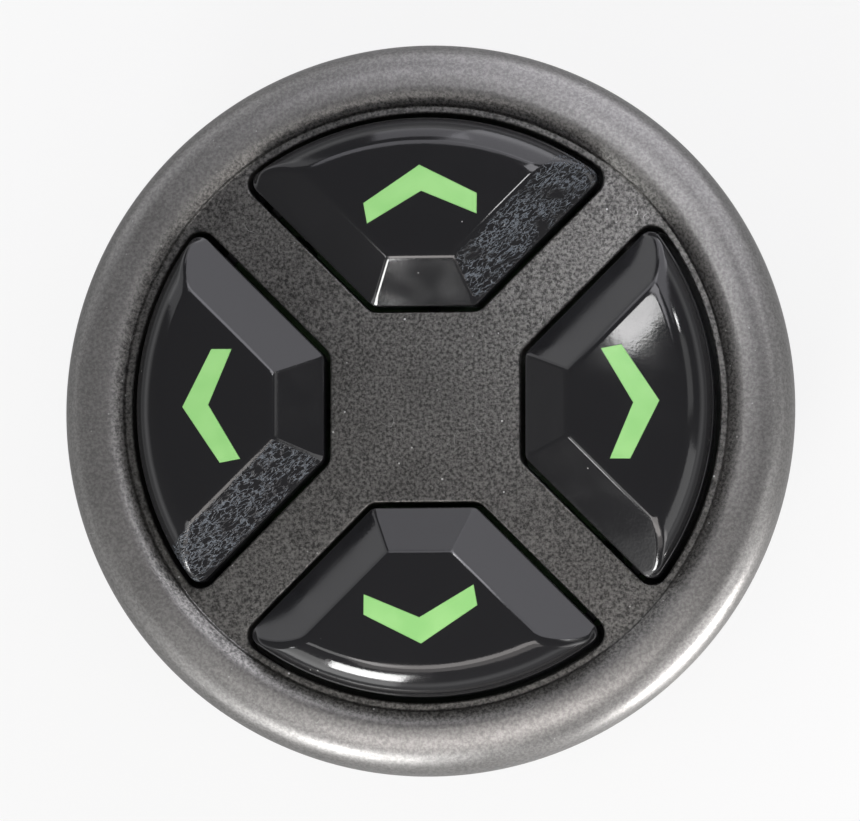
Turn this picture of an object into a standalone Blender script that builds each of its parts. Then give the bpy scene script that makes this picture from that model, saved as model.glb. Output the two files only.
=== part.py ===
"""Four-way push-button pad for panel mounting.

A dished round bezel holds four faceted keys. Each key carries a chevron legend that a LED lights
from below, and presses a rubber dome whose carbon pill closes a contact on the circuit board.
A threaded rear housing clamps the stack, and a ring nut clamps the housing to a panel.

Frame: the origin is the centre of the housing's rear face, +Z points out of the panel towards the
user, and +Y points to the "up" key. Everything below is in metres, written as millimetres * MM.
"""

import math

import bmesh
import bpy
from mathutils import Matrix, Vector

MM = 0.001

# ---- driving dimensions ---------------------------------------------------------------------
# front bezel
BEZEL_R = 20.0 * MM  # outer radius of the pad
DISH_R = 16.5 * MM  # radius of the floor inside the rim
FLOOR_Z = 15.0 * MM  # edge of the floor, which is slightly domed
FLOOR_DOME = 0.3 * MM  # how much higher the floor is at its centre
STEP_HEIGHT = 0.2 * MM  # of the small step up from the floor to the rim
STEP_SLOPE = 0.1 * MM
CREST_R = 17.6 * MM  # radius of the highest line of the rim
CREST_Z = 15.6 * MM
SEAT_Z = 12.0 * MM  # underside of the bezel, against the panel
RIM_DROP = 2.6 * MM  # from the crest down to the bezel's widest line
RIM_SHOULDER = 2.6  # exponent of the rim's outer curve: 2 is an ellipse, more is squarer
SIDE_TAPER = 0.2 * MM  # how far the side leans in below the widest line
EDGE_CHAMFER = 0.3 * MM
BOSS_R = 1.5 * MM
PILOT_R = 1.05 * MM
PILOT_TOP_Z = 14.0 * MM
WEB_HALF = 1.585 * MM  # half the width of the diagonal arms between the keys
OPENING_FLAT = 5.2 * MM  # centre to the inner edge of a key opening
OPENING_ARC_R = 16.1 * MM
OPENING_FILLET = 0.9 * MM
GASKET_INNER_R = 17.0 * MM
GASKET_OUTER_R = 19.2 * MM
GASKET_GROOVE = 0.6 * MM
GASKET_PROUD = 0.45 * MM  # how far the gasket stands below the bezel's underside
GASKET_ROUND = 0.2 * MM

# keys
KEY_GAP = 0.3 * MM  # between a key and its opening
KEY_SIDE = WEB_HALF + KEY_GAP
KEY_FLAT = OPENING_FLAT + KEY_GAP
KEY_ARC_R = OPENING_ARC_R - KEY_GAP
KEY_FILLET = 0.65 * MM  # of the corners of the upright wall, in plan
CREASE_FILLET = 0.35 * MM  # of the creases between the sloping facets
KEY_SKIRT_Z = 13.1 * MM  # lower edge of the key's cap
LIP_Z = 15.55 * MM  # top of the key's upright wall
LIP_INSET = 0.2 * MM
PLATEAU_Z = 17.5 * MM
FACET_WIDTH = 2.4 * MM  # in plan, along the three straight sides
ARC_FACET_WIDTH = 1.35 * MM  # in plan, along the curved side
ARC_FACET_BEND = 0.8  # 0 is a straight slope, 1 a quarter ellipse
KEY_WALL = 1.1 * MM
CEILING_Z = 16.0 * MM  # of the hollow inside the key
POST_R = 1.3 * MM  # of the post that presses the dome
HOOK_LOW_Z = 11.1 * MM
HOOK_HIGH_Z = 11.8 * MM
HOOK_ROOT_Z = KEY_SKIRT_Z + 0.5 * MM
HOOK_REACH = 0.8 * MM
HOOK_INSET = 0.08 * MM  # the hooks stand this far inside the wall's outer face
HOOK_HALF = 0.3 * MM  # half a hook's width
HOOK_ALONG = 14.0 * MM  # of the outer hooks, along the diagonal
LEGEND_GAP = 0.02 * MM
LEGEND_STEM = 0.6 * MM  # how far the legend's stem reaches below the key's ceiling
LEGEND_FOOT = 0.35 * MM  # how far the legend's foot spreads beyond its stem
LEGEND_FOOT_THICK = 1.0 * MM

# rear housing and ring nut
HOUSING_R = 16.5 * MM  # thread crest
HOUSING_BORE_R = 14.9 * MM
HOUSING_TOP_Z = 11.9 * MM
HOUSING_FLOOR = 2.0 * MM
THREAD_PITCH = 2.0 * MM
THREAD_DEPTH = 0.6 * MM
THREAD_FROM_Z = 0.9 * MM
THREAD_TURNS = 5
KEYWAY_WIDTH = 2.6 * MM
KEYWAY_DEPTH = 0.9 * MM
KEYWAY_HIGH_Z = 10.6 * MM  # the keyway ends below the housing's upper rim
NUT_LOW_Z = 4.6 * MM
NUT_HIGH_Z = 9.0 * MM
NUT_OUTER_R = 18.7 * MM  # stays behind the rim at slanting views too
NUT_BORE_R = HOUSING_R + 0.15 * MM
NUT_CHAMFER = 0.4 * MM
NUT_NOTCHES = 12
NUT_NOTCH_R = 1.35 * MM
NUT_NOTCH_OUT = 0.55 * MM  # from the nut's side out to the centre of a notch

# board, mat and screws
BOARD_R = 14.55 * MM
BOARD_Z = 5.6 * MM
BOARD_THICK = 1.6 * MM
BOARD_TOP_Z = BOARD_Z + BOARD_THICK
MAT_R = 14.5 * MM
MAT_THICK = 0.9 * MM
SCREW_CIRCLE_R = 12.0 * MM
SCREW_R = 0.95 * MM
SCREW_HEAD_R = 1.9 * MM
SCREW_HOLE_R = 1.15 * MM
SCREW_TIP_Z = 13.5 * MM
SCREW_POINT = 0.6  # of the shank's radius: how far the tip tapers
HEAD_LOW_Z = 0.2 * MM
HEAD_SEAT_Z = 1.6 * MM
HEAD_EDGE = 0.45 * MM  # height of the head's rounded part
RECESS_ARM = 0.55  # of the head's radius: half the length of each slot of the cross
RECESS_HALF = 0.12  # of the head's radius: half the width of each slot
RECESS_DEPTH = 0.55 * MM
POST_AROUND_SCREW_R = 2.1 * MM

# domes, contacts, lamps and resistors
DOME_AT = 8.6 * MM  # pad centre to the centre of each dome
DOME_R = 2.6 * MM
DOME_CROWN_R = 1.95 * MM
DOME_SKIN = 0.45 * MM
DOME_Z = 8.25 * MM
DOME_HEIGHT = 2.3 * MM
DOME_ROUND = 0.2 * MM
DOME_HEM = 0.4 * MM  # height of the dome's upright foot
DOME_ROOF = 0.8 * MM  # thickness of the dome under the key's post
DOME_TOP_Z = DOME_Z + DOME_HEIGHT
PILL_R = 1.1 * MM
PILL_LOW_Z = 8.40 * MM
PILL_HIGH_Z = 8.95 * MM
PAD_R = 1.8 * MM
PAD_THICK = 0.1 * MM
LED_AT = 12.4 * MM
LED_SIZE = (3.0 * MM, 2.0 * MM, 1.4 * MM)
LED_CUP_R = 0.75 * MM
LED_CUP_DEPTH = 0.3 * MM
RESISTOR_SIZE = (1.6 * MM, 0.8 * MM, 0.5 * MM)
RESISTOR_AT = (3.5 * MM, 5.6 * MM)

# connector
PIN_PITCH = 2.0 * MM
PIN_COUNT = 6
PIN_WIDTH = 0.5 * MM
PIN_POINT = 0.12 * MM
PIN_LOW_Z = 1.4 * MM
PIN_HIGH_Z = 7.8 * MM
SHELL_HALF_X = 7.0 * MM
SHELL_HALF_Y = 2.4 * MM
SHELL_LOW_Z = 0.3 * MM
SHELL_WALL_X = 0.6 * MM
SHELL_WALL_Y = 0.5 * MM
SHELL_BASE = 1.4 * MM
SHELL_NOTCH_AT = 4.0 * MM
SHELL_NOTCH_HALF = 0.6 * MM
SHELL_NOTCH_DEPTH = 2.2 * MM

# gaps and fineness
FIT_GAP = 0.1 * MM  # between pieces that rest on one another
SLIP_GAP = 0.05 * MM  # between small pieces that locate one another
OPEN_GAP = 0.25 * MM  # around a piece that passes through a wall or a sheet
OVERCUT = 1.0 * MM  # how far a cutter runs past the wall that it cuts
TURN_STEPS = 48
SMALL_STEPS = 16
DIRECTIONS = {"up": 0, "left": 90, "down": 180, "right": 270}  # turn about +Z, in degrees

# The chevron of one legend on the "up" key. One arm is a little steeper than the other.
CHEVRON = [
    (-3.10 * MM, 10.95 * MM),
    (-2.90 * MM, 9.85 * MM),
    (0.05 * MM, 11.60 * MM),
    (3.07 * MM, 10.33 * MM),
    (3.08 * MM, 11.42 * MM),
    (-0.05 * MM, 13.00 * MM),
]

COLOURS = {  # name: (red, green, blue), roughness, metallic
    "bezel_paint": ((0.085, 0.083, 0.080), 0.42, 0.55),
    "gloss_black": ((0.010, 0.010, 0.011), 0.10, 0.0),
    "legend_green": ((0.33, 0.70, 0.25), 0.35, 0.0),
    "housing_black": ((0.020, 0.020, 0.021), 0.55, 0.0),
    "seal_rubber": ((0.015, 0.015, 0.015), 0.80, 0.0),
    "silicone_grey": ((0.45, 0.46, 0.47), 0.60, 0.0),
    "carbon": ((0.012, 0.012, 0.012), 0.70, 0.0),
    "board_green": ((0.010, 0.130, 0.050), 0.40, 0.0),
    "gold": ((0.83, 0.62, 0.25), 0.30, 1.0),
    "steel": ((0.55, 0.55, 0.56), 0.32, 1.0),
    "tin": ((0.72, 0.72, 0.70), 0.30, 1.0),
    "connector_white": ((0.76, 0.74, 0.68), 0.50, 0.0),
    "led_white": ((0.85, 0.85, 0.80), 0.40, 0.0),
    "resistor_black": ((0.03, 0.03, 0.03), 0.45, 0.0),
}


# ---- scene and materials --------------------------------------------------------------------
def clear_scene():
    for old in list(bpy.data.objects):
        bpy.data.objects.remove(old)


def new_collection(name):
    made = bpy.data.collections.new(name)
    bpy.context.scene.collection.children.link(made)
    return made


def make_materials():
    made = {}
    for name, (rgb, roughness, metallic) in COLOURS.items():
        mat = bpy.data.materials.new(name)
        mat.use_nodes = True
        shader = mat.node_tree.nodes["Principled BSDF"]
        shader.inputs["Base Color"].default_value = (*rgb, 1.0)
        shader.inputs["Roughness"].default_value = roughness
        shader.inputs["Metallic"].default_value = metallic
        made[name] = mat
    return made


clear_scene()
PARTS = new_collection("four_way_push_button")
CUTTERS = new_collection("cutters")
MATERIALS = make_materials()


# ---- general shapes -------------------------------------------------------------------------
def add_object(name, bm, colour=None):
    """A mesh object from bm: a part in its colour, or a cutter if it has none."""
    mesh = bpy.data.meshes.new(name)
    bm.to_mesh(mesh)
    bm.free()
    obj = bpy.data.objects.new(name, mesh)
    if colour:
        PARTS.objects.link(obj)
        mesh.materials.append(MATERIALS[colour])
        mesh.shade_smooth()
        mesh.set_sharp_from_angle(angle=math.radians(35))
    else:
        CUTTERS.objects.link(obj)
        obj.hide_render = True
        obj.display_type = "WIRE"
    return obj


def add_box(bm, low, high):
    """Adds a box between two corners to bm."""
    size = [b - a for a, b in zip(low, high)]
    middle = [(a + b) / 2 for a, b in zip(low, high)]
    matrix = Matrix.Translation(middle) @ Matrix.Diagonal((*size, 1.0))
    bmesh.ops.create_cube(bm, size=1.0, matrix=matrix)


def add_cylinder(bm, x, y, radius, low_z, high_z, sides=SMALL_STEPS):
    """Adds an upright cylinder to bm."""
    bmesh.ops.create_cone(
        bm,
        cap_ends=True,
        segments=sides,
        radius1=radius,
        radius2=radius,
        depth=high_z - low_z,
        matrix=Matrix.Translation((x, y, (low_z + high_z) / 2)),
    )


def turned(name, profile, colour, steps=TURN_STEPS, ring=False):
    """A solid of revolution about Z. The profile of (radius, z) runs down its outer side, and
    starts and ends on the axis, or closes on itself for a ring."""
    bm = bmesh.new()
    points = [bm.verts.new((r, 0.0, z)) for r, z in profile]
    for a, b in zip(points, points[1:]):
        bm.edges.new((a, b))
    if ring:
        bm.edges.new((points[-1], points[0]))
    obj = add_object(name, bm, colour)
    screw = obj.modifiers.new("turn", "SCREW")
    screw.steps = steps
    screw.render_steps = steps
    screw.use_merge_vertices = True
    screw.merge_threshold = 0.005 * MM
    return obj


def combine(obj, other, operation):
    """Adds a Boolean modifier that cuts or joins another object."""
    modifier = obj.modifiers.new(operation.lower(), "BOOLEAN")
    modifier.operation = operation
    modifier.object = other
    return obj


def prism(bm, outline, low_z, high_z):
    """Adds a prism to bm. The outline runs anticlockwise seen from above."""
    loft(bm, [[(x, y, z) for x, y in outline] for z in (low_z, high_z)])


def loft(bm, rings):
    """Adds a closed body to bm through rings of equal length, from the lowest to the highest."""
    levels = [[bm.verts.new(p) for p in ring] for ring in rings]
    count = len(rings[0])
    for below, above in zip(levels, levels[1:]):
        for i in range(count):
            j = (i + 1) % count
            bm.faces.new((below[i], below[j], above[j], above[i]))
    bm.faces.new(list(reversed(levels[0])))
    bm.faces.new(levels[-1])


def arc_points(cx, cy, radius, start, end, steps):
    """Points along an arc, its two ends included."""
    angles = [start + (end - start) * i / steps for i in range(steps + 1)]
    return [(cx + radius * math.cos(a), cy + radius * math.sin(a)) for a in angles]


def turned_about_z(points, degrees):
    a = math.radians(degrees)
    return [(x * math.cos(a) - y * math.sin(a), x * math.sin(a) + y * math.cos(a)) for x, y in points]


def on_diagonal(quadrant, along):
    """The point at that distance from the centre on one of the four diagonals."""
    a = math.radians(45 + 90 * quadrant)
    return along * math.cos(a), along * math.sin(a)


def key_outline(side, flat, arc_r, fillet, corner_steps=2, arc_steps=10):
    """The plan of the "up" key or its opening, anticlockwise: a flat inner edge, two edges that
    lie parallel to the diagonals at the distance side, and an outer arc about the pad's centre."""
    inner_y = flat + fillet
    inner_x = inner_y - math.sqrt(2) * (side + fillet)
    # The outer corner's centre lies on the inset edge and on the inset arc.
    reach = arc_r - fillet
    offset = side + fillet
    along = math.sqrt(reach**2 - offset**2)
    outer_x = (along - offset) / math.sqrt(2)
    outer_y = (along + offset) / math.sqrt(2)
    edge_normal = -math.pi / 4
    arc_start = math.atan2(outer_y, outer_x)
    right = arc_points(inner_x, inner_y, fillet, -math.pi / 2, edge_normal, corner_steps)
    right += arc_points(outer_x, outer_y, fillet, edge_normal, arc_start, corner_steps)
    top = arc_points(0, 0, arc_r, arc_start, math.pi - arc_start, arc_steps)[1:-1]
    left = [(-x, y) for x, y in reversed(right)]
    return right + top + left


def grown(outline, distance):
    """An anticlockwise outline moved outwards by distance, with mitred corners."""
    made = []
    count = len(outline)
    for i, (x, y) in enumerate(outline):
        px, py = outline[i - 1]
        nx, ny = outline[(i + 1) % count]
        before, after = math.hypot(x - px, y - py), math.hypot(nx - x, ny - y)
        ax, ay = (y - py) / before, (px - x) / before
        bx, by = (ny - y) / after, (x - nx) / after
        scale = distance / (1 + ax * bx + ay * by)
        made.append((x + (ax + bx) * scale, y + (ay + by) * scale))
    return made


# ---- front bezel ----------------------------------------------------------------------------
def rim_profile():
    """Half of the bezel's section as (radius, z): domed floor, small step, rounded rim, side,
    underside and the groove for the gasket."""
    steps = 4
    points = []
    for i in range(steps + 1):
        s = i / steps
        points.append((DISH_R * s, FLOOR_Z + FLOOR_DOME * (1 - s * s)))
    foot_r, foot_z = DISH_R + STEP_SLOPE, FLOOR_Z + STEP_HEIGHT
    for i in range(steps + 1):
        s = i / steps
        rise = (CREST_Z - foot_z) * math.sin(0.5 * math.pi * s)
        points.append((foot_r + (CREST_R - foot_r) * s, foot_z + rise))
    for i in range(1, steps + 1):
        a = 0.5 * math.pi * (1 - i / steps)
        out, up = math.cos(a) ** (2 / RIM_SHOULDER), math.sin(a) ** (2 / RIM_SHOULDER)
        points.append((CREST_R + (BEZEL_R - CREST_R) * out, CREST_Z - RIM_DROP * (1 - up)))
    groove_z = SEAT_Z + GASKET_GROOVE
    points += [
        (BEZEL_R - SIDE_TAPER, SEAT_Z + EDGE_CHAMFER),
        (BEZEL_R - SIDE_TAPER - EDGE_CHAMFER, SEAT_Z),
        (GASKET_OUTER_R + FIT_GAP, SEAT_Z),
        (GASKET_OUTER_R + FIT_GAP, groove_z),
        (GASKET_INNER_R - FIT_GAP, groove_z),
        (GASKET_INNER_R - FIT_GAP, SEAT_Z),
        (0.0, SEAT_Z),
    ]
    return points


def make_bezel():
    bezel = turned("front_bezel", rim_profile(), "bezel_paint")
    openings = bmesh.new()
    outline = key_outline(WEB_HALF, OPENING_FLAT, OPENING_ARC_R, OPENING_FILLET)
    for degrees in DIRECTIONS.values():
        prism(openings, turned_about_z(outline, degrees), SEAT_Z - OVERCUT, PLATEAU_Z)
    combine(bezel, add_object("opening_cutter", openings), "DIFFERENCE")

    bosses, pilots = bmesh.new(), bmesh.new()
    for quadrant in range(4):
        x, y = on_diagonal(quadrant, SCREW_CIRCLE_R)
        add_cylinder(bosses, x, y, BOSS_R, BOARD_TOP_Z + FIT_GAP, SEAT_Z + OVERCUT)
        add_cylinder(pilots, x, y, PILOT_R, BOARD_Z, PILOT_TOP_Z, sides=12)
    combine(bezel, add_object("boss_shape", bosses), "UNION")
    combine(bezel, add_object("pilot_cutter", pilots), "DIFFERENCE")


def make_gasket():
    low, high = SEAT_Z - GASKET_PROUD, SEAT_Z + GASKET_GROOVE - FIT_GAP
    profile = [
        (GASKET_INNER_R, high),
        (GASKET_OUTER_R, high),
        (GASKET_OUTER_R, low + GASKET_ROUND),
        (GASKET_OUTER_R - GASKET_ROUND, low),
        (GASKET_INNER_R + GASKET_ROUND, low),
        (GASKET_INNER_R, low + GASKET_ROUND),
    ]
    turned("panel_gasket", profile, "seal_rubber", ring=True)


# ---- keys and legends -----------------------------------------------------------------------
def bent(t):
    """How far in the rounded outer slope has come at the fraction t of its height."""
    return 1 - math.sqrt(1 - ARC_FACET_BEND * t * t)


def key_cap_rings():
    """The rings of the key's outer form: upright skirt, lip, straight facets and a rounded outer
    slope that end together at the plateau."""
    skirt = (KEY_SIDE, KEY_FLAT, KEY_ARC_R, KEY_FILLET)
    lip = (KEY_SIDE + LIP_INSET, KEY_FLAT + LIP_INSET, KEY_ARC_R - LIP_INSET, KEY_FILLET / 2)
    rings = [(KEY_SKIRT_Z, skirt), (LIP_Z, skirt), (LIP_Z + LIP_INSET, lip)]
    steps = 3
    for i in range(1, steps + 1):
        t = i / steps
        side = lip[0] + FACET_WIDTH * t
        flat = lip[1] + FACET_WIDTH * t
        arc_r = lip[2] - ARC_FACET_WIDTH * bent(t) / bent(1.0)
        z = LIP_Z + LIP_INSET + (PLATEAU_Z - LIP_Z - LIP_INSET) * t
        rings.append((z, (side, flat, arc_r, CREASE_FILLET)))
    return [[(x, y, z) for x, y in key_outline(*plan)] for z, plan in rings]


def add_hook(bm, middle, degrees):
    """Adds an L-shaped hook to bm. It stands inside the key's wall, whose outer face is the plane
    x = 0 before the hook is turned and moved, and its toe reaches through that plane."""
    stem_low, stem_high = HOOK_INSET, KEY_WALL
    section = [
        (-HOOK_REACH, HOOK_LOW_Z),
        (stem_high, HOOK_LOW_Z),
        (stem_high, HOOK_ROOT_Z),
        (stem_low, HOOK_ROOT_Z),
        (stem_low, HOOK_HIGH_Z),
        (-HOOK_REACH, HOOK_HIGH_Z),
    ]
    turn = Matrix.Translation((*middle, 0.0)) @ Matrix.Rotation(math.radians(degrees), 4, "Z")
    ends = [[turn @ Vector((x, y, z)) for x, z in section] for y in (HOOK_HALF, -HOOK_HALF)]
    loft(bm, ends)


def add_hooks(bm):
    """Adds the three hooks that hold a key in its opening: one under the pad's centre, and one
    under each arm near the rim."""
    add_hook(bm, (0.0, KEY_FLAT), 90)
    for mirror in (1, -1):
        x = (HOOK_ALONG - KEY_SIDE) / math.sqrt(2)
        y = (HOOK_ALONG + KEY_SIDE) / math.sqrt(2)
        add_hook(bm, (mirror * x, y), 90 + mirror * 45)


def make_key(name, degrees):
    bm = bmesh.new()
    loft(bm, key_cap_rings())
    key = add_object("key_" + name, bm, "gloss_black")

    hollow = bmesh.new()
    inner = key_outline(
        KEY_SIDE + KEY_WALL, KEY_FLAT + KEY_WALL, KEY_ARC_R - KEY_WALL, KEY_FILLET
    )
    prism(hollow, inner, KEY_SKIRT_Z - OVERCUT, CEILING_Z)
    combine(key, add_object("hollow_cutter_" + name, hollow), "DIFFERENCE")

    inside = bmesh.new()
    add_cylinder(inside, 0, DOME_AT, POST_R, DOME_TOP_Z + SLIP_GAP, CEILING_Z + KEY_WALL / 2)
    add_hooks(inside)
    combine(key, add_object("post_and_hooks_" + name, inside), "UNION")
    key.modifiers[-1].use_self = True

    slot = bmesh.new()
    prism(slot, grown(CHEVRON, LEGEND_GAP), CEILING_Z - OVERCUT, PLATEAU_Z + OVERCUT)
    combine(key, add_object("legend_cutter_" + name, slot), "DIFFERENCE")
    for obj in [key] + [m.object for m in key.modifiers]:
        obj.rotation_euler.z = math.radians(degrees)


def make_legend(name, degrees):
    """The green light guide: a chevron that fills its slot, on a wider foot below the ceiling."""
    bm = bmesh.new()
    prism(bm, CHEVRON, CEILING_Z - LEGEND_STEM, PLATEAU_Z)
    legend = add_object("legend_" + name, bm, "legend_green")
    foot = bmesh.new()
    foot_top = CEILING_Z - FIT_GAP
    prism(foot, grown(CHEVRON, LEGEND_FOOT), foot_top - LEGEND_FOOT_THICK, foot_top)
    shape = add_object("legend_foot_" + name, foot)
    combine(legend, shape, "UNION")
    for obj in (legend, shape):
        obj.rotation_euler.z = math.radians(degrees)


# ---- domes, contacts and lamps --------------------------------------------------------------
def make_dome(name, degrees):
    """A rubber spring: a conical skirt, a crown under the key's post, and a boss for the pill."""
    hem_z = DOME_Z + DOME_HEM
    boss_z = PILL_HIGH_Z + SLIP_GAP
    roof_z = DOME_TOP_Z - DOME_ROOF
    profile = [
        (0.0, DOME_TOP_Z),
        (DOME_CROWN_R - DOME_ROUND, DOME_TOP_Z),
        (DOME_CROWN_R, DOME_TOP_Z - DOME_ROUND),
        (DOME_R - DOME_ROUND, hem_z),
        (DOME_R, hem_z),
        (DOME_R, DOME_Z),
        (DOME_R - DOME_SKIN, DOME_Z),
        (DOME_CROWN_R - DOME_SKIN, roof_z),
        (PILL_R, roof_z),
        (PILL_R, boss_z),
        (0.0, boss_z),
    ]
    dome = turned("dome_" + name, profile, "silicone_grey", steps=SMALL_STEPS)
    place(dome, DOME_AT, degrees)


def place(obj, along, degrees):
    """Moves obj from the axis to the "up" key's centreline, and on to its own key."""
    turn = Matrix.Rotation(math.radians(degrees), 4, "Z")
    obj.matrix_world = turn @ Matrix.Translation((0.0, along, 0.0))


def make_contact(name, degrees):
    """The carbon pill under a dome, and the plated pad on the board below it."""
    bm = bmesh.new()
    add_cylinder(bm, 0, 0, PILL_R, PILL_LOW_Z, PILL_HIGH_Z)
    place(add_object("contact_pill_" + name, bm, "carbon"), DOME_AT, degrees)
    bm = bmesh.new()
    low = BOARD_TOP_Z + SLIP_GAP
    add_cylinder(bm, 0, 0, PAD_R, low, low + PAD_THICK)
    place(add_object("contact_pad_" + name, bm, "gold"), DOME_AT, degrees)


def make_led(name, degrees):
    """A surface-mount lamp with a shallow reflector cup in its top."""
    length, width, height = LED_SIZE
    low = BOARD_TOP_Z + SLIP_GAP
    high = low + height
    bm = bmesh.new()
    add_box(bm, (-length / 2, -width / 2, low), (length / 2, width / 2, high))
    led = add_object("led_" + name, bm, "led_white")
    cup = bmesh.new()
    add_cylinder(cup, 0, 0, LED_CUP_R, high - LED_CUP_DEPTH, high + OVERCUT)
    cutter = add_object("led_cup_" + name, cup)
    combine(led, cutter, "DIFFERENCE")
    place(led, LED_AT, degrees)
    place(cutter, LED_AT, degrees)


# ---- mat and circuit board ------------------------------------------------------------------
def make_mat():
    """The silicone sheet under the domes, with openings for domes, lamps, bosses and pin tails."""
    low = BOARD_TOP_Z + FIT_GAP
    high = low + MAT_THICK
    cut_low, cut_high = low - OVERCUT, high + OVERCUT
    bm = bmesh.new()
    add_cylinder(bm, 0, 0, MAT_R, low, high, sides=TURN_STEPS)
    mat = add_object("keypad_mat", bm, "silicone_grey")
    holes = bmesh.new()
    half_x = LED_SIZE[0] / 2 + OPEN_GAP
    half_y = LED_SIZE[1] / 2 + FIT_GAP
    near, far = LED_AT - half_y, LED_AT + half_y
    window = [(-half_x, near), (half_x, near), (half_x, far), (-half_x, far)]
    for quadrant, degrees in enumerate(DIRECTIONS.values()):
        x, y = on_diagonal(quadrant, SCREW_CIRCLE_R)
        add_cylinder(holes, x, y, BOSS_R + OPEN_GAP, cut_low, cut_high)
        ((x, y),) = turned_about_z([(0.0, DOME_AT)], degrees)
        add_cylinder(holes, x, y, DOME_R - DOME_SKIN, cut_low, cut_high)
        prism(holes, turned_about_z(window, degrees), cut_low, cut_high)
    half_x = PIN_PITCH * (PIN_COUNT - 1) / 2 + PIN_WIDTH
    add_box(holes, (-half_x, -PIN_WIDTH, cut_low), (half_x, PIN_WIDTH, cut_high))
    combine(mat, add_object("mat_cutter", holes), "DIFFERENCE")


def pin_places():
    return [(i - (PIN_COUNT - 1) / 2) * PIN_PITCH for i in range(PIN_COUNT)]


def make_board():
    bm = bmesh.new()
    add_cylinder(bm, 0, 0, BOARD_R, BOARD_Z, BOARD_TOP_Z, sides=TURN_STEPS)
    board = add_object("circuit_board", bm, "board_green")
    holes = bmesh.new()
    low, high = BOARD_Z - OVERCUT, BOARD_TOP_Z + OVERCUT
    for quadrant in range(4):
        x, y = on_diagonal(quadrant, SCREW_CIRCLE_R)
        add_cylinder(holes, x, y, SCREW_HOLE_R, low, high, sides=12)
    for x in pin_places():
        add_cylinder(holes, x, 0, PIN_WIDTH, low, high, sides=8)
    combine(board, add_object("board_cutter", holes), "DIFFERENCE")


def make_resistors():
    """Four chip resistors on the underside of the board."""
    length, width, height = RESISTOR_SIZE
    high = BOARD_Z - SLIP_GAP
    corners = [(x, y) for y in (1, -1) for x in (-1, 1)]
    for i, (side_x, side_y) in enumerate(corners, 1):
        x, y = side_x * RESISTOR_AT[0], side_y * RESISTOR_AT[1]
        bm = bmesh.new()
        low_corner = (x - length / 2, y - width / 2, high - height)
        add_box(bm, low_corner, (x + length / 2, y + width / 2, high))
        add_object(f"resistor_{i}", bm, "resistor_black")


def make_connector():
    """A shrouded pin header that opens towards the rear, and its pins."""
    high = BOARD_Z - FIT_GAP
    bm = bmesh.new()
    low_corner = (-SHELL_HALF_X, -SHELL_HALF_Y, SHELL_LOW_Z)
    add_box(bm, low_corner, (SHELL_HALF_X, SHELL_HALF_Y, high))
    shell = add_object("connector_shell", bm, "connector_white")

    cavity = bmesh.new()
    half_x, half_y = SHELL_HALF_X - SHELL_WALL_X, SHELL_HALF_Y - SHELL_WALL_Y
    open_z = SHELL_LOW_Z - OVERCUT
    add_box(cavity, (-half_x, -half_y, open_z), (half_x, half_y, high - SHELL_BASE))
    combine(shell, add_object("connector_cavity", cavity), "DIFFERENCE")

    holes = bmesh.new()
    half = PIN_WIDTH / 2 + SLIP_GAP
    for x in pin_places():
        add_box(holes, (x - half, -half, high - 2 * SHELL_BASE), (x + half, half, high + OVERCUT))
    for x in (-SHELL_NOTCH_AT, SHELL_NOTCH_AT):
        low_corner = (x - SHELL_NOTCH_HALF, half_y - SHELL_WALL_Y, open_z)
        high_corner = (x + SHELL_NOTCH_HALF, SHELL_HALF_Y + OVERCUT, SHELL_NOTCH_DEPTH)
        add_box(holes, low_corner, high_corner)
    combine(shell, add_object("connector_cutter", holes), "DIFFERENCE")

    half = PIN_WIDTH / 2
    for i, x in enumerate(pin_places(), 1):
        bm = bmesh.new()
        add_box(bm, (x - half, -half, PIN_LOW_Z), (x + half, half, PIN_HIGH_Z))
        pin = add_object(f"connector_pin_{i}", bm, "tin")
        bevel = pin.modifiers.new("point", "BEVEL")
        bevel.width = PIN_POINT
        bevel.segments = 1


# ---- rear housing, nut and screws -----------------------------------------------------------
def thread_radius(z, angle):
    """The radius of the threaded side, which runs out to the plain radius at both ends."""
    end_z = THREAD_FROM_Z + THREAD_TURNS * THREAD_PITCH
    phase = 2 * math.pi * (z - THREAD_FROM_Z) / THREAD_PITCH - angle
    run_out = min(1.0, (z - THREAD_FROM_Z) / THREAD_PITCH, (end_z - z) / THREAD_PITCH)
    return HOUSING_R - THREAD_DEPTH * run_out * (0.5 - 0.5 * math.cos(phase))


def threaded_barrel(name, colour):
    """A solid cylinder whose side carries a helical thread, with plain ends."""
    rows_per_turn = 4
    angles = [2 * math.pi * i / TURN_STEPS for i in range(TURN_STEPS)]
    thread_rows = [
        THREAD_FROM_Z + i * THREAD_PITCH / rows_per_turn
        for i in range(THREAD_TURNS * rows_per_turn + 1)
    ]
    rows = [(0.0, HOUSING_R - EDGE_CHAMFER), (EDGE_CHAMFER, HOUSING_R)]
    rings = [[(r * math.cos(a), r * math.sin(a), z) for a in angles] for z, r in rows]
    for z in thread_rows + [HOUSING_TOP_Z]:
        radii = [thread_radius(min(z, thread_rows[-1]), a) for a in angles]
        rings.append([(r * math.cos(a), r * math.sin(a), z) for r, a in zip(radii, angles)])
    bm = bmesh.new()
    loft(bm, rings)
    return add_object(name, bm, colour)


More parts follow.
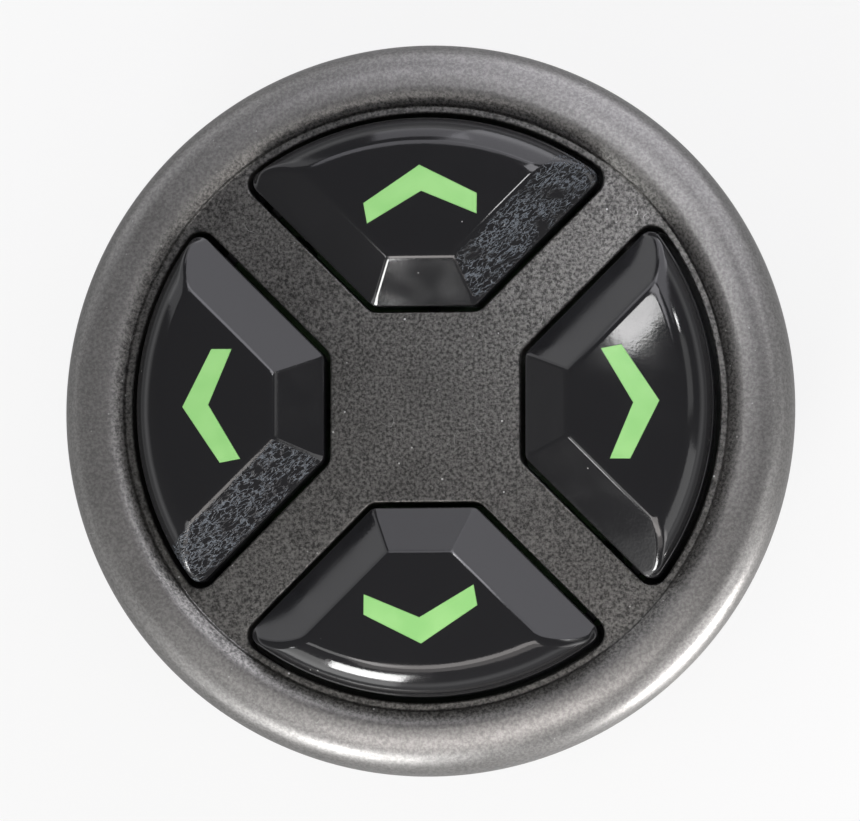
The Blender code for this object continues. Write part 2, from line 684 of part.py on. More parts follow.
def make_housing():
    """A threaded cup with posts for the board, a window for the connector and sunk screws."""
    housing = threaded_barrel("rear_housing", "housing_black")
    hollow, posts = bmesh.new(), bmesh.new()
    top = HOUSING_TOP_Z + OVERCUT
    add_cylinder(hollow, 0, 0, HOUSING_BORE_R, HOUSING_FLOOR, top, sides=TURN_STEPS)
    for quadrant in range(4):
        x, y = on_diagonal(quadrant, SCREW_CIRCLE_R)
        add_cylinder(posts, x, y, POST_AROUND_SCREW_R, HOUSING_FLOOR / 2, BOARD_Z - FIT_GAP)
    combine(housing, add_object("housing_hollow", hollow), "DIFFERENCE")
    combine(housing, add_object("housing_posts", posts), "UNION")

    cuts, sinks = bmesh.new(), bmesh.new()
    for quadrant in range(4):
        x, y = on_diagonal(quadrant, SCREW_CIRCLE_R)
        add_cylinder(cuts, x, y, SCREW_HOLE_R, -OVERCUT, BOARD_Z + OVERCUT, sides=12)
        add_cylinder(sinks, x, y, SCREW_HEAD_R + FIT_GAP, -OVERCUT, HEAD_SEAT_Z)
    half_x, half_y = SHELL_HALF_X + FIT_GAP, SHELL_HALF_Y + FIT_GAP
    add_box(cuts, (-half_x, -half_y, -OVERCUT), (half_x, half_y, HOUSING_FLOOR + OVERCUT))
    low_corner = (-KEYWAY_WIDTH / 2, -HOUSING_R - OVERCUT, -OVERCUT)
    add_box(cuts, low_corner, (KEYWAY_WIDTH / 2, KEYWAY_DEPTH - HOUSING_R, KEYWAY_HIGH_Z))
    combine(housing, add_object("housing_cutter", cuts), "DIFFERENCE")
    combine(housing, add_object("counterbore_cutter", sinks), "DIFFERENCE")


def make_nut():
    """The ring nut, with notches for a spanner around its side."""
    profile = [
        (NUT_BORE_R + NUT_CHAMFER, NUT_HIGH_Z),
        (NUT_OUTER_R - NUT_CHAMFER, NUT_HIGH_Z),
        (NUT_OUTER_R, NUT_HIGH_Z - NUT_CHAMFER),
        (NUT_OUTER_R, NUT_LOW_Z + NUT_CHAMFER),
        (NUT_OUTER_R - NUT_CHAMFER, NUT_LOW_Z),
        (NUT_BORE_R + NUT_CHAMFER, NUT_LOW_Z),
        (NUT_BORE_R, NUT_LOW_Z + NUT_CHAMFER),
        (NUT_BORE_R, NUT_HIGH_Z - NUT_CHAMFER),
    ]
    nut = turned("ring_nut", profile, "housing_black", ring=True)
    notches = bmesh.new()
    low, high = NUT_LOW_Z - OVERCUT, NUT_HIGH_Z + OVERCUT
    reach = NUT_OUTER_R + NUT_NOTCH_OUT
    for i in range(NUT_NOTCHES):
        a = 2 * math.pi * (i + 0.5) / NUT_NOTCHES
        x, y = reach * math.cos(a), reach * math.sin(a)
        add_cylinder(notches, x, y, NUT_NOTCH_R, low, high, sides=12)
    combine(nut, add_object("nut_notch_cutter", notches), "DIFFERENCE")


def make_screws():
    """Four pan-head screws with cross recesses, in from the rear."""
    head_high = HEAD_SEAT_Z - SLIP_GAP
    profile = [
        (0.0, SCREW_TIP_Z),
        (SCREW_R * SCREW_POINT, SCREW_TIP_Z),
        (SCREW_R, SCREW_TIP_Z - SCREW_R * SCREW_POINT),
        (SCREW_R, head_high),
        (SCREW_HEAD_R, head_high),
        (SCREW_HEAD_R, HEAD_LOW_Z + HEAD_EDGE),
        (SCREW_HEAD_R * 0.8, HEAD_LOW_Z + HEAD_EDGE / 4),
        (SCREW_HEAD_R * 0.5, HEAD_LOW_Z),
        (0.0, HEAD_LOW_Z),
    ]
    arm, half = SCREW_HEAD_R * RECESS_ARM, SCREW_HEAD_R * RECESS_HALF
    depth = HEAD_LOW_Z + RECESS_DEPTH
    for quadrant in range(4):
        screw = turned(f"housing_screw_{quadrant + 1}", profile, "steel", steps=SMALL_STEPS)
        cutters = []
        for length, width in ((arm, half), (half, arm)):
            recess = bmesh.new()
            add_box(recess, (-length, -width, -OVERCUT), (length, width, depth))
            cutters.append(add_object(f"recess_{len(cutters)}_{quadrant + 1}", recess))
            combine(screw, cutters[-1], "DIFFERENCE")
        x, y = on_diagonal(quadrant, SCREW_CIRCLE_R)
        for obj in [screw] + cutters:
            obj.location = (x, y, 0.0)


# ---- the whole object -----------------------------------------------------------------------
def main():
    make_bezel()
    make_gasket()
    for name, degrees in DIRECTIONS.items():
        make_key(name, degrees)
        make_legend(name, degrees)
        make_dome(name, degrees)
        make_contact(name, degrees)
        make_led(name, degrees)
    make_mat()
    make_board()
    make_resistors()
    make_connector()
    make_housing()
    make_nut()
    make_screws()
    bpy.context.view_layer.update()


main()
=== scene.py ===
"""Looks of the four-way push-button pad: fine meshes, materials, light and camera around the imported
CAD model. Metres throughout, in the CAD model's frame: +Z out of the panel, +Y towards the up key."""

import math

import bmesh
import bpy
from mathutils import Matrix, Vector


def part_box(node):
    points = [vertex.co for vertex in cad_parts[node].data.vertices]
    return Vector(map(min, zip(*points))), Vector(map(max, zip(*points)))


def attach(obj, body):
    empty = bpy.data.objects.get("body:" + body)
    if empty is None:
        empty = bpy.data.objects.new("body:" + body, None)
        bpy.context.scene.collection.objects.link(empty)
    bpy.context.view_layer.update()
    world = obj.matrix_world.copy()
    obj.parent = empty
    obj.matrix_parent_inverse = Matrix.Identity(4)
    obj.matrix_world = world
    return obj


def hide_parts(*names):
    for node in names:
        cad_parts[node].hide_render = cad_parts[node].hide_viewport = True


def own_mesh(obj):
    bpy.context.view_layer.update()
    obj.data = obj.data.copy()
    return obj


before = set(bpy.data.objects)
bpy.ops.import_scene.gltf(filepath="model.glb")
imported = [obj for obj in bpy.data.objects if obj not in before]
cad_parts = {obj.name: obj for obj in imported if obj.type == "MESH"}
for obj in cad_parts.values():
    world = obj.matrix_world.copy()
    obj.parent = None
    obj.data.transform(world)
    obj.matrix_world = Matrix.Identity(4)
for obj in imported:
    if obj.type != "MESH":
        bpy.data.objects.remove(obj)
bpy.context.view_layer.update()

MM = 0.001
DIRECTIONS = {"up": 0, "left": 90, "down": 180, "right": 270}  # turn about +Z, in degrees
BASE = "base"


def span(node):
    """The lowest and highest z of a CAD node."""
    low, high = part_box(node)
    return low.z, high.z


# ---- sizes, from the frame where it has them, and otherwise as in the CAD model ---------------
BEZEL_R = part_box("front_bezel")[1].x
BOSS_LOW_Z, CREST_Z = span("front_bezel")
PLATEAU_Z = span("key_up")[1]
HOOK_LOW_Z = span("key_up")[0]
FLOOR_Z = 15.0 * MM
FLOOR_DOME = 0.3 * MM
SEAT_Z = 12.0 * MM
DISH_R = 16.5 * MM
STEP_HEIGHT = 0.2 * MM
STEP_SLOPE = 0.1 * MM
CREST_R = 17.6 * MM
RIM_DROP = 2.6 * MM
RIM_SHOULDER = 2.6  # exponent of the rim's outer curve: 2 is an ellipse, more is squarer
SIDE_TAPER = 0.2 * MM

WEB_HALF = 1.585 * MM
OPENING_FLAT = 5.2 * MM
OPENING_ARC_R = 16.1 * MM
OPENING_FILLET = 0.9 * MM
KEY_GAP = 0.3 * MM
GASKET_OUTER_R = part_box("panel_gasket")[1].x
KEY_SIDE = WEB_HALF + KEY_GAP
KEY_FLAT = OPENING_FLAT + KEY_GAP
KEY_ARC_R = OPENING_ARC_R - KEY_GAP
KEY_FILLET = 0.65 * MM
CREASE_FILLET = 0.35 * MM
CORNER_FADE = 0.5 * MM
KEY_SKIRT_Z = 13.1 * MM
LIP_Z = 15.6 * MM
LIP_ROUND = 0.16 * MM
PLATEAU_ROUND = 0.8 * MM
FACET_WIDTH = 2.6 * MM
ARC_FACET_WIDTH = 1.55 * MM
ARC_FACET_BEND = 0.8  # 0 is a straight slope, 1 a quarter ellipse
KEY_MIDDLE = 8.6 * MM  # from the pad's axis to a key's post and dome
KEY_WALL = 1.1 * MM
KEY_POST_R = 1.3 * MM
CEILING_Z = 16.0 * MM  # of the hollow inside the key
HOOK_ALONG = 14.0 * MM  # of the outer hooks, along the diagonal

SCREW_CIRCLE = 12.0 * MM
BOSS_R = 1.5 * MM
PILOT_R = 1.05 * MM
PILOT_TOP_Z = 14.0 * MM
POST_R = 2.1 * MM
POST_TOP_Z = 5.5 * MM
CLEARANCE_R = 1.15 * MM
SINK_R = 2.0 * MM
SINK_DEPTH = 1.6 * MM
CUP_R = 14.9 * MM
CUP_FLOOR_Z = 2.0 * MM
WINDOW_HALF = (7.1 * MM, 2.5 * MM)
KEYWAY_HALF = 1.3 * MM
KEYWAY_DEPTH = 0.9 * MM
KEYWAY_HIGH_Z = 10.6 * MM
NUT_BORE_R = 16.65 * MM
NUT_NOTCHES = 12
NUT_NOTCH_DEPTH = 0.8 * MM
GASKET_INNER_R = 17.0 * MM
GROOVE = (16.9 * MM, 19.3 * MM, 0.6 * MM)  # inner and outer radius, and depth

CAMERA_DISTANCE = 0.55
DISC_SHARE = 0.852093  # of the frame's width


# ---- mesh tools -------------------------------------------------------------------------------
def new_object(name, bm):
    mesh = bpy.data.meshes.new(name)
    bm.to_mesh(mesh)
    bm.free()
    obj = bpy.data.objects.new(name, mesh)
    bpy.context.scene.collection.objects.link(obj)
    return obj


def join_levels(bm, levels):
    """Faces between each level of vertices and the next."""
    count = len(levels[0])
    for below, above in zip(levels, levels[1:]):
        for i in range(count):
            j = (i + 1) % count
            bm.faces.new((below[i], below[j], above[j], above[i]))


def loft(bm, rings):
    """A closed body through rings of equal length, from the lowest to the highest."""
    levels = [[bm.verts.new(p) for p in ring] for ring in rings]
    join_levels(bm, levels)
    bm.faces.new(list(reversed(levels[0])))
    bm.faces.new(levels[-1])


def ring_loft(bm, rings):
    """A body with a hole through it: the last ring joins the first."""
    levels = [[bm.verts.new(p) for p in ring] for ring in rings]
    join_levels(bm, levels + levels[:1])


def prism(bm, outline, low_z, high_z):
    loft(bm, [[(x, y, z) for x, y in outline] for z in (low_z, high_z)])


def circle(radius, z, steps, middle=(0.0, 0.0)):
    angles = [2 * math.pi * i / steps for i in range(steps)]
    return [(middle[0] + radius * math.cos(a), middle[1] + radius * math.sin(a), z) for a in angles]


def add_cylinder(bm, x, y, radius, low_z, high_z, steps=48):
    loft(bm, [circle(radius, z, steps, (x, y)) for z in (low_z, high_z)])


def add_box(bm, low, high):
    corners = [(low[0], low[1]), (high[0], low[1]), (high[0], high[1]), (low[0], high[1])]
    prism(bm, corners, low[2], high[2])


def turned(bm, profile, steps, middle=(0.0, 0.0)):
    """A body turned about an upright axis. The profile of (radius, z) runs along its skin, from
    one flat end to the other."""
    loft(bm, [circle(r, z, steps, middle) for r, z in profile])


def turned_ring(bm, profile, steps):
    """A ring: the closed profile of (radius, z) runs up its outer side and down its inner one."""
    ring_loft(bm, [circle(r, z, steps) for r, z in profile])


def arc_points(cx, cy, radius, start, end, steps):
    angles = [start + (end - start) * i / steps for i in range(steps + 1)]
    return [(cx + radius * math.cos(a), cy + radius * math.sin(a)) for a in angles]


def turned_about_z(points, degrees):
    a = math.radians(degrees)
    cos, sin = math.cos(a), math.sin(a)
    return [(x * cos - y * sin, x * sin + y * cos) for x, y in points]


def on_diagonal(quadrant, along):
    a = math.radians(45 + 90 * quadrant)
    return along * math.cos(a), along * math.sin(a)


def key_outline(side, flat, arc_r, fillet):
    """The plan of the "up" key or its opening, anticlockwise: a flat inner edge, two edges that
    lie parallel to the diagonals at the distance side, and an outer arc about the pad's centre."""
    corner_steps, arc_steps = 7, 48
    inner_y = flat + fillet
    inner_x = inner_y - math.sqrt(2) * (side + fillet)
    offset = side + fillet
    along = math.sqrt((arc_r - fillet) ** 2 - offset**2)
    outer_x = (along - offset) / math.sqrt(2)
    outer_y = (along + offset) / math.sqrt(2)
    edge_normal = -math.pi / 4
    arc_start = math.atan2(outer_y, outer_x)
    right = arc_points(inner_x, inner_y, fillet, -math.pi / 2, edge_normal, corner_steps)
    right += arc_points(outer_x, outer_y, fillet, edge_normal, arc_start, corner_steps)
    top = arc_points(0, 0, arc_r, arc_start, math.pi - arc_start, arc_steps)[1:-1]
    left = [(-x, y) for x, y in reversed(right)]
    return right + top + left


def rounded(points, radius, steps=5):
    """An open line of (a, b) points with its inner corners rounded."""
    made = [points[0]]
    for before, corner, after in zip(points, points[1:], points[2:]):
        b, c, a = Vector(before), Vector(corner), Vector(after)
        back, ahead = (b - c).normalized(), (a - c).normalized()
        turn = math.pi - back.angle(ahead)
        reach = radius * math.tan(turn / 2)
        for i in range(steps + 1):
            t = i / steps
            # A quadratic through the corner's tangents is close to an arc for such small turns.
            p = (c + back * reach) * (1 - t) ** 2 + c * 2 * t * (1 - t) + (c + ahead * reach) * t**2
            made.append((p.x, p.y))
    made.append(points[-1])
    return made


def boolean(obj, bm, operation):
    """Cuts or joins the body in bm to obj for good."""
    other = new_object("cutter", bm)
    modifier = obj.modifiers.new("boolean", "BOOLEAN")
    modifier.operation = operation
    modifier.object = other
    modifier.use_self = operation == "UNION"
    apply_modifiers(obj)
    bpy.data.objects.remove(other)


def apply_modifiers(obj):
    graph = bpy.context.evaluated_depsgraph_get()
    mesh = bpy.data.meshes.new_from_object(obj.evaluated_get(graph))
    mesh.name = obj.name
    obj.modifiers.clear()
    obj.data = mesh


def smooth(obj, angle=30):
    """Smooth shading with crisp creases, and normals that keep large flat faces flat."""
    obj.data.shade_smooth()
    obj.data.set_sharp_from_angle(angle=math.radians(angle))
    weighted = obj.modifiers.new("normals", "WEIGHTED_NORMAL")
    weighted.keep_sharp = True
    weighted.weight = 60


def finished(obj, material, slot, body, *nodes):
    """Gives a new piece its material, and its place in the frame."""
    obj.data.materials.clear()
    obj.data.materials.append(material)
    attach(obj, body)
    if nodes:
        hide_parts(*nodes)
    return obj


# ---- material tools ---------------------------------------------------------------------------
class Material:
    """A Principled material under construction, with short calls for the nodes used here."""

    def __init__(self, name, color, roughness, metallic=0.0):
        self.made = bpy.data.materials.new(name)
        self.made.use_nodes = True
        self.tree = self.made.node_tree
        self.shader = self.tree.nodes["Principled BSDF"]
        self.put("Base Color", (*color, 1.0))
        self.put("Roughness", roughness)
        self.put("Metallic", metallic)
        self.place = self.node("ShaderNodeTexCoord").outputs["Object"]

    def put(self, socket, value):
        self.shader.inputs[socket].default_value = value

    def node(self, kind, **settings):
        made = self.tree.nodes.new(kind)
        for name, value in settings.items():
            setattr(made, name, value)
        return made

    def link(self, source, target):
        self.tree.links.new(source, target)

    def noise(self, size, detail=2.0, stretch=None, roughness=0.5):
        """Noise whose features are about size metres across, from 0 to 1 around 0.5. They can be
        stretched by a factor along each axis, given with the axes' rotation."""
        place = self.place
        if stretch:
            mapping = self.node("ShaderNodeMapping", vector_type="TEXTURE")
            mapping.inputs["Rotation"].default_value = stretch[1]
            mapping.inputs["Scale"].default_value = stretch[0]
            self.link(place, mapping.inputs["Vector"])
            place = mapping.outputs["Vector"]
        texture = self.node("ShaderNodeTexNoise")
        texture.inputs["Scale"].default_value = 1.0 / size
        texture.inputs["Detail"].default_value = detail
        texture.inputs["Roughness"].default_value = roughness
        self.link(place, texture.inputs["Vector"])
        return texture.outputs["Fac"]

    def specks(self, size, radius):
        """1 inside small round specks, one in each cell of about size metres, and 0 elsewhere."""
        texture = self.node("ShaderNodeTexVoronoi")
        texture.inputs["Scale"].default_value = 1.0 / size
        texture.inputs["Randomness"].default_value = 1.0
        self.link(self.place, texture.inputs["Vector"])
        return self.ramp(texture.outputs["Distance"], radius * 0.6 / size, radius / size, 1.0, 0.0)

    def ramp(self, value, low, high, at_low=0.0, at_high=1.0):
        """Maps value from low..high to at_low..at_high, held at both ends."""
        node = self.node("ShaderNodeMapRange", interpolation_type="SMOOTHSTEP")
        limits = {"From Min": low, "From Max": high, "To Min": at_low, "To Max": at_high}
        for name, number in limits.items():
            node.inputs[name].default_value = number
        self.link(value, node.inputs["Value"])
        return node.outputs["Result"]

    def radius(self):
        """Distance from the pad's axis."""
        flat = self.node("ShaderNodeVectorMath", operation="MULTIPLY")
        flat.inputs[1].default_value = (1.0, 1.0, 0.0)
        self.link(self.place, flat.inputs[0])
        length = self.node("ShaderNodeVectorMath", operation="LENGTH")
        self.link(flat.outputs[0], length.inputs[0])
        return length.outputs["Value"]

    def along(self, azimuth):
        """Distance from the pad's centre in one direction of its plane."""
        node = self.node("ShaderNodeVectorMath", operation="DOT_PRODUCT")
        a = math.radians(azimuth)
        node.inputs[1].default_value = (math.cos(a), math.sin(a), 0.0)
        self.link(self.place, node.inputs[0])
        return node.outputs["Value"]

    def strands(self, size, width, detail=1.0, stretch=None):
        """1 on thin wandering lines, where a noise crosses its middle value, and 0 elsewhere."""
        offset = self.node("ShaderNodeMath", operation="SUBTRACT")
        offset.inputs[1].default_value = 0.5
        self.link(self.noise(size, detail, stretch), offset.inputs[0])
        away = self.node("ShaderNodeMath", operation="ABSOLUTE")
        self.link(offset.outputs[0], away.inputs[0])
        return self.ramp(away.outputs[0], 0.0, width, 1.0, 0.0)

    def product(self, a, b):
        node = self.node("ShaderNodeMath", operation="MULTIPLY")
        self.link(a, node.inputs[0])
        self.link(b, node.inputs[1])
        return node.outputs[0]

    def total(self, a, b):
        node = self.node("ShaderNodeMath", operation="ADD")
        self.link(a, node.inputs[0])
        self.link(b, node.inputs[1])
        return node.outputs[0]

    def mix(self, factor, a, b):
        """A colour between a and b, each a colour or a socket."""
        node = self.node("ShaderNodeMix", data_type="RGBA")
        self.link(factor, node.inputs["Factor"])
        for value, target in ((a, node.inputs[6]), (b, node.inputs[7])):
            if isinstance(value, tuple):
                target.default_value = (*value, 1.0)
            else:
                self.link(value, target)
        return node.outputs[2]

    def color(self, source):
        self.link(source, self.shader.inputs["Base Color"])

    def roughness(self, source):
        self.link(source, self.shader.inputs["Roughness"])

    def bump(self, height, depth):
        """Adds a bump of depth metres on top of those added before."""
        node = self.node("ShaderNodeBump")
        node.inputs["Strength"].default_value = 1.0
        node.inputs["Distance"].default_value = depth
        self.link(height, node.inputs["Height"])
        target = self.shader.inputs["Normal"]
        if target.is_linked:
            self.link(target.links[0].from_socket, node.inputs["Normal"])
        self.link(node.outputs["Normal"], target)


def bezel_paint():
    """Dark warm-grey metallic paint: satin on the rim, and coarser on the floor between
    the keys, where dust and lint have settled. The floor is painted darker than the rim, as painted
    shade in the recessed dish."""
    m = Material("bezel_paint", (0.19, 0.187, 0.182), 0.42, 0.75)
    rim = m.ramp(m.radius(), DISH_R + 0.2 * MM, CREST_R)
    grain = m.noise(0.17 * MM, detail=3.0, roughness=0.7)
    broad = m.noise(3.0 * MM, detail=2.0)
    # Painted shade: the floor's colour is darker than the rim's and stands in for shade in the recessed
    # dish. Its coarse grain is real.
    coarse_painted_shade = m.mix(m.ramp(grain, 0.32, 0.68), (0.035, 0.0345, 0.0335), (0.182, 0.178, 0.171))
    satin = m.mix(m.ramp(grain, 0.32, 0.68), (0.165, 0.162, 0.159), (0.265, 0.260, 0.254))
    tone = m.mix(rim, coarse_painted_shade, satin)
    dusty = m.ramp(m.noise(5.0 * MM, detail=2.0), 0.42, 0.6)
    settled = m.product(m.specks(0.8 * MM, 0.055 * MM), dusty)
    lint = m.product(m.strands(1.6 * MM, 0.006), m.ramp(m.noise(2.6 * MM), 0.62, 0.68))
    floor = m.ramp(rim, 0.0, 1.0, 1.0, 0.0)
    tone = m.mix(m.product(m.specks(1.5 * MM, 0.07 * MM), floor), tone, (0.6, 0.6, 0.59))
    tone = m.mix(settled, tone, (0.4, 0.4, 0.39))
    tone = m.mix(lint, tone, (0.35, 0.35, 0.34))
    m.color(tone)
    floor_to_rim = m.ramp(rim, 0.0, 1.0, 0.38, 0.40)
    m.roughness(m.total(floor_to_rim, m.ramp(broad, 0.3, 0.7, -0.03, 0.03)))
    m.bump(m.product(grain, m.ramp(rim, 0.0, 1.0, 1.0, 0.3)), 0.02 * MM)
    return m.made


def gloss_black():
    """Black gloss plastic with faint moulding ripple and dust. The two facets that face down and
    to the right are scuffed. Their scratches are real wear in roughness and bump, and their pale
    blue-white colour is a painted sheen of the light from the lower right."""
    m = Material("gloss_black", (0.010, 0.010, 0.011), 0.16)
    fine = m.noise(0.16 * MM, detail=2.0)
    ripple = m.noise(2.2 * MM, detail=1.0)
    across = m.along(135)
    low, high = KEY_SIDE, KEY_SIDE + FACET_WIDTH
    rise = m.ramp(across, low, low + 0.2 * MM)
    fall = m.ramp(across, high - 0.3 * MM, high, 1.0, 0.0)
    band = m.product(rise, fall)
    # The crease at the facet's inner end halves the angle between the facet and the flat edge.
    half = math.radians(22.5)
    crease = (KEY_FLAT - math.sqrt(2) * KEY_SIDE) * math.cos(half) + KEY_FLAT * math.sin(half)
    ends = [m.ramp(m.along(azimuth), crease, crease + 0.2 * MM) for azimuth in (22.5, 247.5)]
    facet = m.product(band, m.total(*ends))
    patchy = m.ramp(m.noise(1.2 * MM, detail=2.0), 0.3, 0.55)
    scratches = m.total(
        m.strands(0.24 * MM, 0.04, detail=3.0, stretch=((2.5, 1.0, 1.0), (0.0, 0.0, math.radians(45)))),
        m.strands(0.30 * MM, 0.03, detail=2.0, stretch=((4.0, 1.0, 1.0), (0.0, 0.0, math.radians(20)))),
    )
    scuffs_and_sheen = m.product(m.product(facet, patchy), scratches)
    m.roughness(m.total(m.ramp(ripple, 0.3, 0.7, 0.07, 0.12), m.ramp(scuffs_and_sheen, 0.0, 1.0, 0.0, 0.25)))
    tone = m.mix(m.specks(1.9 * MM, 0.05 * MM), (0.010, 0.010, 0.011), (0.35, 0.35, 0.34))
    # Painted sheen: the pale blue-white colour in the scratches stands in for the lower-right light
    # glinting in them.
    m.color(m.mix(m.ramp(scuffs_and_sheen, 0.0, 1.0, 0.0, 0.6), tone, (0.12, 0.14, 0.165)))
    m.bump(ripple, 0.006 * MM)
    m.bump(scuffs_and_sheen, 0.012 * MM)
    m.bump(fine, 0.0015 * MM)
    return m.made


def legend_green():
    """Light green translucent plastic, with a painted glow: emission that brightens it beyond the light
    that falls on it.
    """
    m = Material("legend_green", (0.18, 0.37, 0.125), 0.35)
    shade = m.noise(1.6 * MM, detail=1.0)
    m.color(m.mix(m.ramp(shade, 0.3, 0.7), (0.160, 0.35, 0.112), (0.198, 0.39, 0.138)))
    # Painted light: this emission makes the legends glow, standing in for light falling on them.
    m.put("Emission Color", (0.33, 0.70, 0.24, 1.0))
    m.put("Emission Strength", 0.26)
    m.bump(m.noise(0.1 * MM), 0.001 * MM)
    return m.made


def moulded(name, color, roughness):
    """Plain moulded plastic or rubber with fine grain and faint blotches."""
    contrast = 0.25
    m = Material(name, color, roughness)
    grain = m.noise(0.12 * MM, detail=2.0)
    broad = m.noise(2.5 * MM, detail=3.0)
    pale = tuple(min(1.0, c * (1 + contrast) + 0.006) for c in color)
    deep = tuple(c * (1 - contrast) for c in color)
    m.color(m.mix(m.ramp(broad, 0.3, 0.7), deep, pale))
    m.roughness(m.ramp(grain, 0.3, 0.7, roughness * 0.88, min(1.0, roughness * 1.12)))
    m.bump(grain, 0.004 * MM)
    return m.made


def metal(name, color, roughness, streak_axis):
    """Plated or brushed metal with fine streaks around the part."""
    m = Material(name, color, roughness, 1.0)
    stretch = tuple(12.0 if i == streak_axis else 1.0 for i in range(3))
    streaks = m.noise(0.06 * MM, detail=2.0, stretch=(stretch, (0.0, 0.0, 0.0)))
    broad = m.noise(0.9 * MM, detail=2.0)
    deep = tuple(c * 0.8 for c in color)
    m.color(m.mix(m.ramp(broad, 0.3, 0.7), deep, color))
    m.roughness(m.ramp(streaks, 0.3, 0.7, roughness * 0.75, roughness * 1.25))
    m.bump(streaks, 0.002 * MM)
    return m.made


def board_green():
    """Solder mask over copper: the tracks show as slightly raised, paler lines."""
    m = Material("board_green", (0.010, 0.130, 0.050), 0.35)
    cells = m.node("ShaderNodeTexVoronoi", feature="DISTANCE_TO_EDGE", distance="CHEBYCHEV")
    cells.inputs["Scale"].default_value = 1.0 / (2.2 * MM)
    m.link(m.place, cells.inputs["Vector"])
    tracks = m.ramp(cells.outputs["Distance"], 0.05, 0.09, 1.0, 0.0)
    m.color(m.mix(tracks, (0.008, 0.105, 0.042), (0.02, 0.20, 0.085)))
    m.bump(tracks, 0.03 * MM)
    m.bump(m.noise(0.3 * MM), 0.002 * MM)
    return m.made


# ---- pieces -----------------------------------------------------------------------------------
def floor_height(r):
    """The slightly domed floor between the keys."""
    return FLOOR_Z + FLOOR_DOME * (1 - (r / DISH_R) ** 2)


def bezel_profile():
    """Section of the bezel as (radius, z), up from its underside: side, rounded rim, dish."""
    edge = 0.24 * MM
    side_z = CREST_Z - RIM_DROP
    underside = [(GASKET_OUTER_R, SEAT_Z), (BEZEL_R - SIDE_TAPER, SEAT_Z), (BEZEL_R, side_z)]
    points = rounded(underside, edge)[1:]
    steps = 40
    for i in range(1, steps + 1):
        a = 0.5 * math.pi * i / steps
        out, up = math.cos(a) ** (2 / RIM_SHOULDER), math.sin(a) ** (2 / RIM_SHOULDER)
        points.append((CREST_R + (BEZEL_R - CREST_R) * out, side_z + RIM_DROP * up))
    foot_r, foot_z = DISH_R + STEP_SLOPE, FLOOR_Z + STEP_HEIGHT
    steps = 20
    for i in range(1, steps):
        s = 1 - i / steps
        z = foot_z + (CREST_Z - foot_z) * math.sin(0.5 * math.pi * s)
        points.append((foot_r + (CREST_R - foot_r) * s, z))
    step_out = DISH_R - 0.5 * MM
    corners = [points[-1], (foot_r, foot_z), (DISH_R, FLOOR_Z), (step_out, floor_height(step_out))]
    points += rounded(corners, 0.11 * MM)[1:]
    steps = 16
    for i in range(1, steps):
        r = step_out * (1 - i / steps)
        points.append((r, floor_height(r)))
    return points


def opening_outline(degrees, grow):
    """The plan of one key's opening, moved out by grow."""
    side, flat = WEB_HALF - grow, OPENING_FLAT - grow
    plan = key_outline(side, flat, OPENING_ARC_R + grow, OPENING_FILLET + grow)
    return turned_about_z(plan, degrees)


def opening_rings(degrees):
    """Rings of a key opening's cutter. Its wall flares where the domed floor rounds into it."""
    edge = 0.12 * MM
    rings = [[(x, y, SEAT_Z - MM) for x, y in opening_outline(degrees, 0.0)]]
    for i in range(6):
        a = 0.5 * math.pi * i / 5
        grow = edge * (1 - math.cos(a))
        drop = edge * (1 - math.sin(a))
        plan = opening_outline(degrees, grow)
        rings.append([(x, y, floor_height(math.hypot(x, y)) - drop) for x, y in plan])
    rings.append([(x, y, PLATEAU_Z) for x, y in opening_outline(degrees, edge)])
    return rings


def make_bezel(material):
    bm = bmesh.new()
    turned(bm, bezel_profile(), 288)
    bezel = new_object("bezel", bm)

    openings = bmesh.new()
    for degrees in DIRECTIONS.values():
        loft(openings, opening_rings(degrees))
    boolean(bezel, openings, "DIFFERENCE")

    groove = bmesh.new()
    inner, outer, depth = GROOVE
    low_z, high_z = SEAT_Z - MM, SEAT_Z + depth
    turned_ring(groove, [(inner, low_z), (outer, low_z), (outer, high_z), (inner, high_z)], 288)
    boolean(bezel, groove, "DIFFERENCE")

    bosses, pilots = bmesh.new(), bmesh.new()
    for quadrant in range(4):
        x, y = on_diagonal(quadrant, SCREW_CIRCLE)
        add_cylinder(bosses, x, y, BOSS_R, BOSS_LOW_Z, SEAT_Z + MM)
        add_cylinder(pilots, x, y, PILOT_R, BOSS_LOW_Z - MM, PILOT_TOP_Z)
    boolean(bezel, bosses, "UNION")
    boolean(bezel, pilots, "DIFFERENCE")
    smooth(bezel)
    return finished(bezel, material, "bezel_paint", BASE, "front_bezel")


def bent(t):
    """How far in the rounded outer slope has come at the fraction t of its height."""
    return (1 - math.sqrt(1 - ARC_FACET_BEND * t * t)) / (1 - math.sqrt(1 - ARC_FACET_BEND))


def key_rings():
    """Rings of a key's outer form, from the skirt's edge up to the plateau."""
    inner_end = (FACET_WIDTH + 1.5 * PLATEAU_ROUND, PLATEAU_Z)
    lip, ridge = (0.0, LIP_Z), (FACET_WIDTH, PLATEAU_Z)
    wall_part = rounded([(0.0, KEY_SKIRT_Z), lip, ridge], LIP_ROUND)[:-1]
    ridge_part = rounded([lip, ridge, inner_end], PLATEAU_ROUND, 8)[1:]
    (low_in, low_z), (high_in, high_z) = wall_part[-1], ridge_part[0]
    rows = 14
    facet = [
        (low_in + (high_in - low_in) * i / rows, low_z + (high_z - low_z) * i / rows)
        for i in range(1, rows)
    ]
    rings = []
    for inset, z in wall_part + facet + ridge_part:
        height = min(1.0, max(0.0, (z - LIP_Z) / (PLATEAU_Z - LIP_Z)))
        arc_inset = ARC_FACET_WIDTH * bent(height) + max(0.0, inset - FACET_WIDTH)
        arc_inset = max(arc_inset, min(inset, 0.5 * LIP_ROUND))
        corner = max(0.0, 1 - inset / CORNER_FADE)
        fillet = CREASE_FILLET + (KEY_FILLET - CREASE_FILLET) * corner
        plan = key_outline(KEY_SIDE + inset, KEY_FLAT + inset, KEY_ARC_R - arc_inset, fillet)
        rings.append([(x, y, z) for x, y in plan])
    return rings


